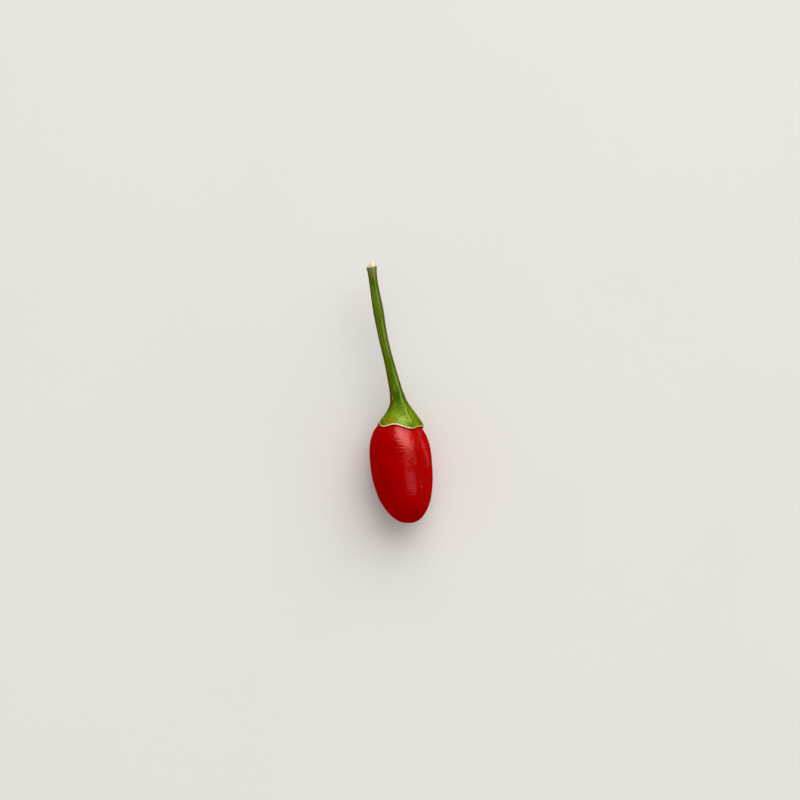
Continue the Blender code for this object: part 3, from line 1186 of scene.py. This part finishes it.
# %% Paint the stem
# painted highlight: a lighter stripe along the rib crests of the stem's right side
stripe = bark.times(
    bark.step("highlight_stripe", 0.30, 0.75, 0.0, 0.95),
    bark.step(bark.grain(streak_place, 0.28, 3.0, 0.6), 0.38, 0.6, 0.25, 1.0),
)
stem_colour = bark.paint(
    STEM_GREEN,
    (bark.step(streaks, 0.42, 0.70, 0.0, 0.6), STEM_LIGHT),
    (bark.step(fine_streaks, 0.52, 0.68, 0.0, 0.55), STEM_DEEP),
    (stripe, STEM_LIGHT),
    # a brownish tinge at the sides and below: partly the stem's own colour, partly painted reflection
    (bark.times("stem_side", 0.9), STEM_SIDE),
    (bark.step(bark.grain(where, 0.30, 3.0, 0.6), 0.52, 0.66, 0.0, 0.5), STEM_SIDE),
    (bark.times("near_end", 0.85), bark.blend("stem_side", OLD_GREEN, OLD_BROWN)),
)
print("nodes so far:", len(bark.nodes))

# %% Paint the calyx
TOOTH_PLACES = ((-2.4, 4.75, 5.2), (1.3, 4.6, 6.1), (2.5, 4.9, 4.9))

calyx_colour = bark.paint(
    CALYX_GREEN,
    (bark.step(mottle, 0.4, 0.62), CALYX_YELLOW),
    (bark.step(patches, 0.45, 0.60, 0.0, 0.75), CALYX_DEEP),
    # painted sheen: two pale mottled panels on the top of the calyx
    bark.dab(HIGHLIGHT_PALE, (-0.15, 5.75, 6.2), 0.35, 1.15, bark.step(patches, 0.62, 0.42, 0.35, 1.0)),
    bark.dab(HIGHLIGHT_PALE, (0.55, 5.3, 6.3), 0.2, 0.85, bark.step(patches, 0.58, 0.42, 0.2, 0.75)),
    bark.dab(CALYX_YELLOW, (-1.4, 5.9, 5.7), 0.4, 1.5, 0.75),
    bark.dab(CALYX_OLIVE, (2.0, 5.4, 5.2), 0.5, 1.5, bark.step(flecks, 0.42, 0.6)),
    *[bark.dab(TOOTH_GREEN, tooth_place, 0.15, 0.75, 0.8) for tooth_place in TOOTH_PLACES],
    bark.dab(FLECK_BROWN, (-1.5, 5.2, 5.8), 0.4, 1.3, bark.step(flecks, 0.43, 0.56)),
)
print("nodes so far:", len(bark.nodes))

# %% Paint the dry edge and the torn end
TAN_PLACES = ((1.9, 4.5, 5.9), (2.7, 4.5, 4.8))

cream = bark.paint(
    DRY_CREAM,
    (bark.step(flecks, 0.47, 0.66), DRY_TAN),
    *[bark.dab(DRY_TAN, tan_place, 0.4, 1.3, 0.85) for tan_place in TAN_PLACES],
)
torn_colour = bark.paint(
    TORN_CREAM,
    (bark.step("scar_reach", 0.55, 0.8), TORN_GREENISH),
    # painted shade: darker around the raised pulled patch, down in the groove
    (bark.step("pulled_patch", 0.3, 0.02), TORN_GROOVE_SHADE),
    (bark.step("scar_reach", 0.85, 0.93), TORN_CREAM),
    (bark.step(flecks, 0.5, 0.8), DRY_TAN),
)
print("nodes so far:", len(bark.nodes))

# %% Put the green finish together
GLINT_PLACES = ((-1.10, 8.2, 4.5), (-1.52, 10.15, 4.5), (-1.05, 7.9, 4.55), (-0.50, 9.6, 4.6))
BARK_RELIEFS = ((streaks, 0.03 * MM), (fine_streaks, 0.010 * MM), (patches, 0.03 * MM))

rib_shade_share = bark.times("rib_shade", "above_edge")
rib_highlight_line_share = bark.times("rib_highlight_line", "above_edge")
green_colour = bark.paint(
    stem_colour,
    ("on_calyx", calyx_colour),
    # painted shade: a darker patch at the neck
    bark.dab(STEM_DEEP, (-0.5, 8.3, 4.7), 0.25, 1.1, bark.step(flecks, 0.35, 0.6, 0.3, 0.9)),
    # painted shade and painted highlight along the ribs of the right side
    (bark.times(rib_shade_share, 0.6), TOOTH_GREEN),
    (bark.times(rib_highlight_line_share, bark.step(flecks, 0.35, 0.55, 0.4, 0.95)), HIGHLIGHT_PALE),
    # painted highlights: small pale glints near the neck
    *[bark.dab(HIGHLIGHT_PALE, glint_place, 0.04, 0.17, 0.8) for glint_place in GLINT_PLACES],
    ("dry_edge", cream),
    ("torn", torn_colour),
)
bark_relief = None
for pattern, depth in BARK_RELIEFS:
    bark_relief = bark.relief(pattern, depth, bark_relief)
bark.set(
    Base_Color=green_colour,
    Roughness=bark.step(mottle, 0.3, 0.7, 0.42, 0.56),
    Normal=bark_relief,
    IOR=1.42,
    Specular_IOR_Level=0.12,
    Specular_Tint=(1.0, 1.0, 0.3, 1),
)
green.data.materials.append(bark.material)
print("green finish:", bark.material.name)

# %% [markdown]
# ## Fibres at the torn end
# Tearing pulls a few woody fibres out of the stem's middle. They are thin, taper to a point and lean a
# little each in its own way. One is drawn out of a tiny disc, bent as it grows, and then copied, turned
# and sunk with its root in the pulled patch. They end within the length of the solid.

# %% Draw out one fibre
FIBRE_RADIUS = 0.035 * MM
FIBRE_LENGTH = 0.34 * MM
FIBRE_STEPS = 4
FIBRE_TAPER = 0.72
FIBRE_BEND = 0.022 * MM

bpy.ops.mesh.primitive_circle_add(vertices=7, radius=FIBRE_RADIUS, fill_type="NGON", location=(0, 0, 0))
fibre = bpy.context.object
fibre.name = "torn_fibres"
switch_to("EDIT")
for step in range(FIBRE_STEPS):
    rise = (FIBRE_BEND * step, 0, FIBRE_LENGTH / FIBRE_STEPS)
    bpy.ops.mesh.extrude_region_move(TRANSFORM_OT_translate={"value": rise})
    bpy.ops.transform.resize(value=(FIBRE_TAPER, FIBRE_TAPER, 1))
bpy.ops.mesh.select_all(action="SELECT")
bpy.ops.mesh.normals_make_consistent(inside=False)
switch_to("OBJECT")
bpy.ops.object.shade_smooth()
print("one fibre:", len(fibre.data.polygons), "faces")

# %% Copy it over the pulled patch
FIBRES = 13
FIBRE_SEED = 11
FIBRE_SPREAD = (0.42, 0.38)
FIBRE_FURTHEST = 0.85
FIBRE_LEAN = 0.55
FIBRE_ROOT = 0.05 * MM
FIBRE_TOP = 25.10 * MM
LENGTH_SHARES = (0.45, 1.0)
LEAST_LENGTH_SHARE = 0.3
LEAST_RISE = 0.2

copies = [fibre]
for number in range(FIBRES - 1):
    copy = fibre.copy()
    copy.data = fibre.data.copy()
    bpy.context.collection.objects.link(copy)
    copies.append(copy)
chance = random.Random(FIBRE_SEED)
end_heading = (ROUTE[-1] - ROUTE[-2]).normalized()
for copy in copies:
    place = PATCH_PLACE + Vector((*[chance.uniform(-part, part) for part in FIBRE_SPREAD], 0))
    around = math.atan2(place.x, place.y)
    root = scar_point(min(FIBRE_FURTHEST, place.length), around) - end_heading * FIBRE_ROOT
    lean = Vector([chance.uniform(-1, 1) for axis in range(3)]) * FIBRE_LEAN
    heading = (end_heading + lean).normalized()
    room = (FIBRE_TOP - root.y) / (FIBRE_LENGTH * max(heading.y, LEAST_RISE))
    length = max(LEAST_LENGTH_SHARE, min(chance.uniform(*LENGTH_SHARES), room))
    turned = heading.to_track_quat("Z", "X") @ Quaternion((0, 0, 1), chance.uniform(0, 2 * math.pi))
    size = Matrix.Diagonal((1, 1, length, 1))
    copy.data.transform(Matrix.Translation(root) @ turned.to_matrix().to_4x4() @ size)
start_alone(fibre)
for copy in copies:
    copy.select_set(True)
bpy.ops.object.join()
print("fibres:", FIBRES)

# %% Finish the fibres
FIBRE_CREAM = (0.93, 0.82, 0.55)
FIBRE_STRAW = (0.55, 0.40, 0.14)

straw = Finish("pulled_fibre")
strands = straw.grain(straw.place((0.3, 1.0, 0.3)), 0.2, 2.0)
straw.set(
    Base_Color=straw.blend(straw.step(strands, 0.45, 0.7), FIBRE_CREAM, FIBRE_STRAW),
    Roughness=0.6,
    Normal=straw.relief(strands, 0.006 * MM),
)
fibre.data.materials.append(straw.material)
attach(fibre, "root")
print("fibres reach to", round(max(vert.co.y for vert in fibre.data.vertices) / MM, 2), "mm")

# %% Put the green piece in the solid's place
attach(green, "root")
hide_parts("calyx_and_stem")
print("stem end in mm:", [round(part / MM, 2) for part in stem_point(STEM_END, 0, 0)])

# %% [markdown]
# ## Measure and finish
# The dressed pepper has to fit the box of the solids. Both boxes are printed.

# %% Print the two boxes
dressed_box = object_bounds()
boxes = {
    "cad": [list(corner) for corner in CAD_BOX],
    "visual": [list(corner) for corner in dressed_box],
}
for name, corners in boxes.items():
    print(name, [[round(part / MM, 3) for part in corner] for corner in corners])
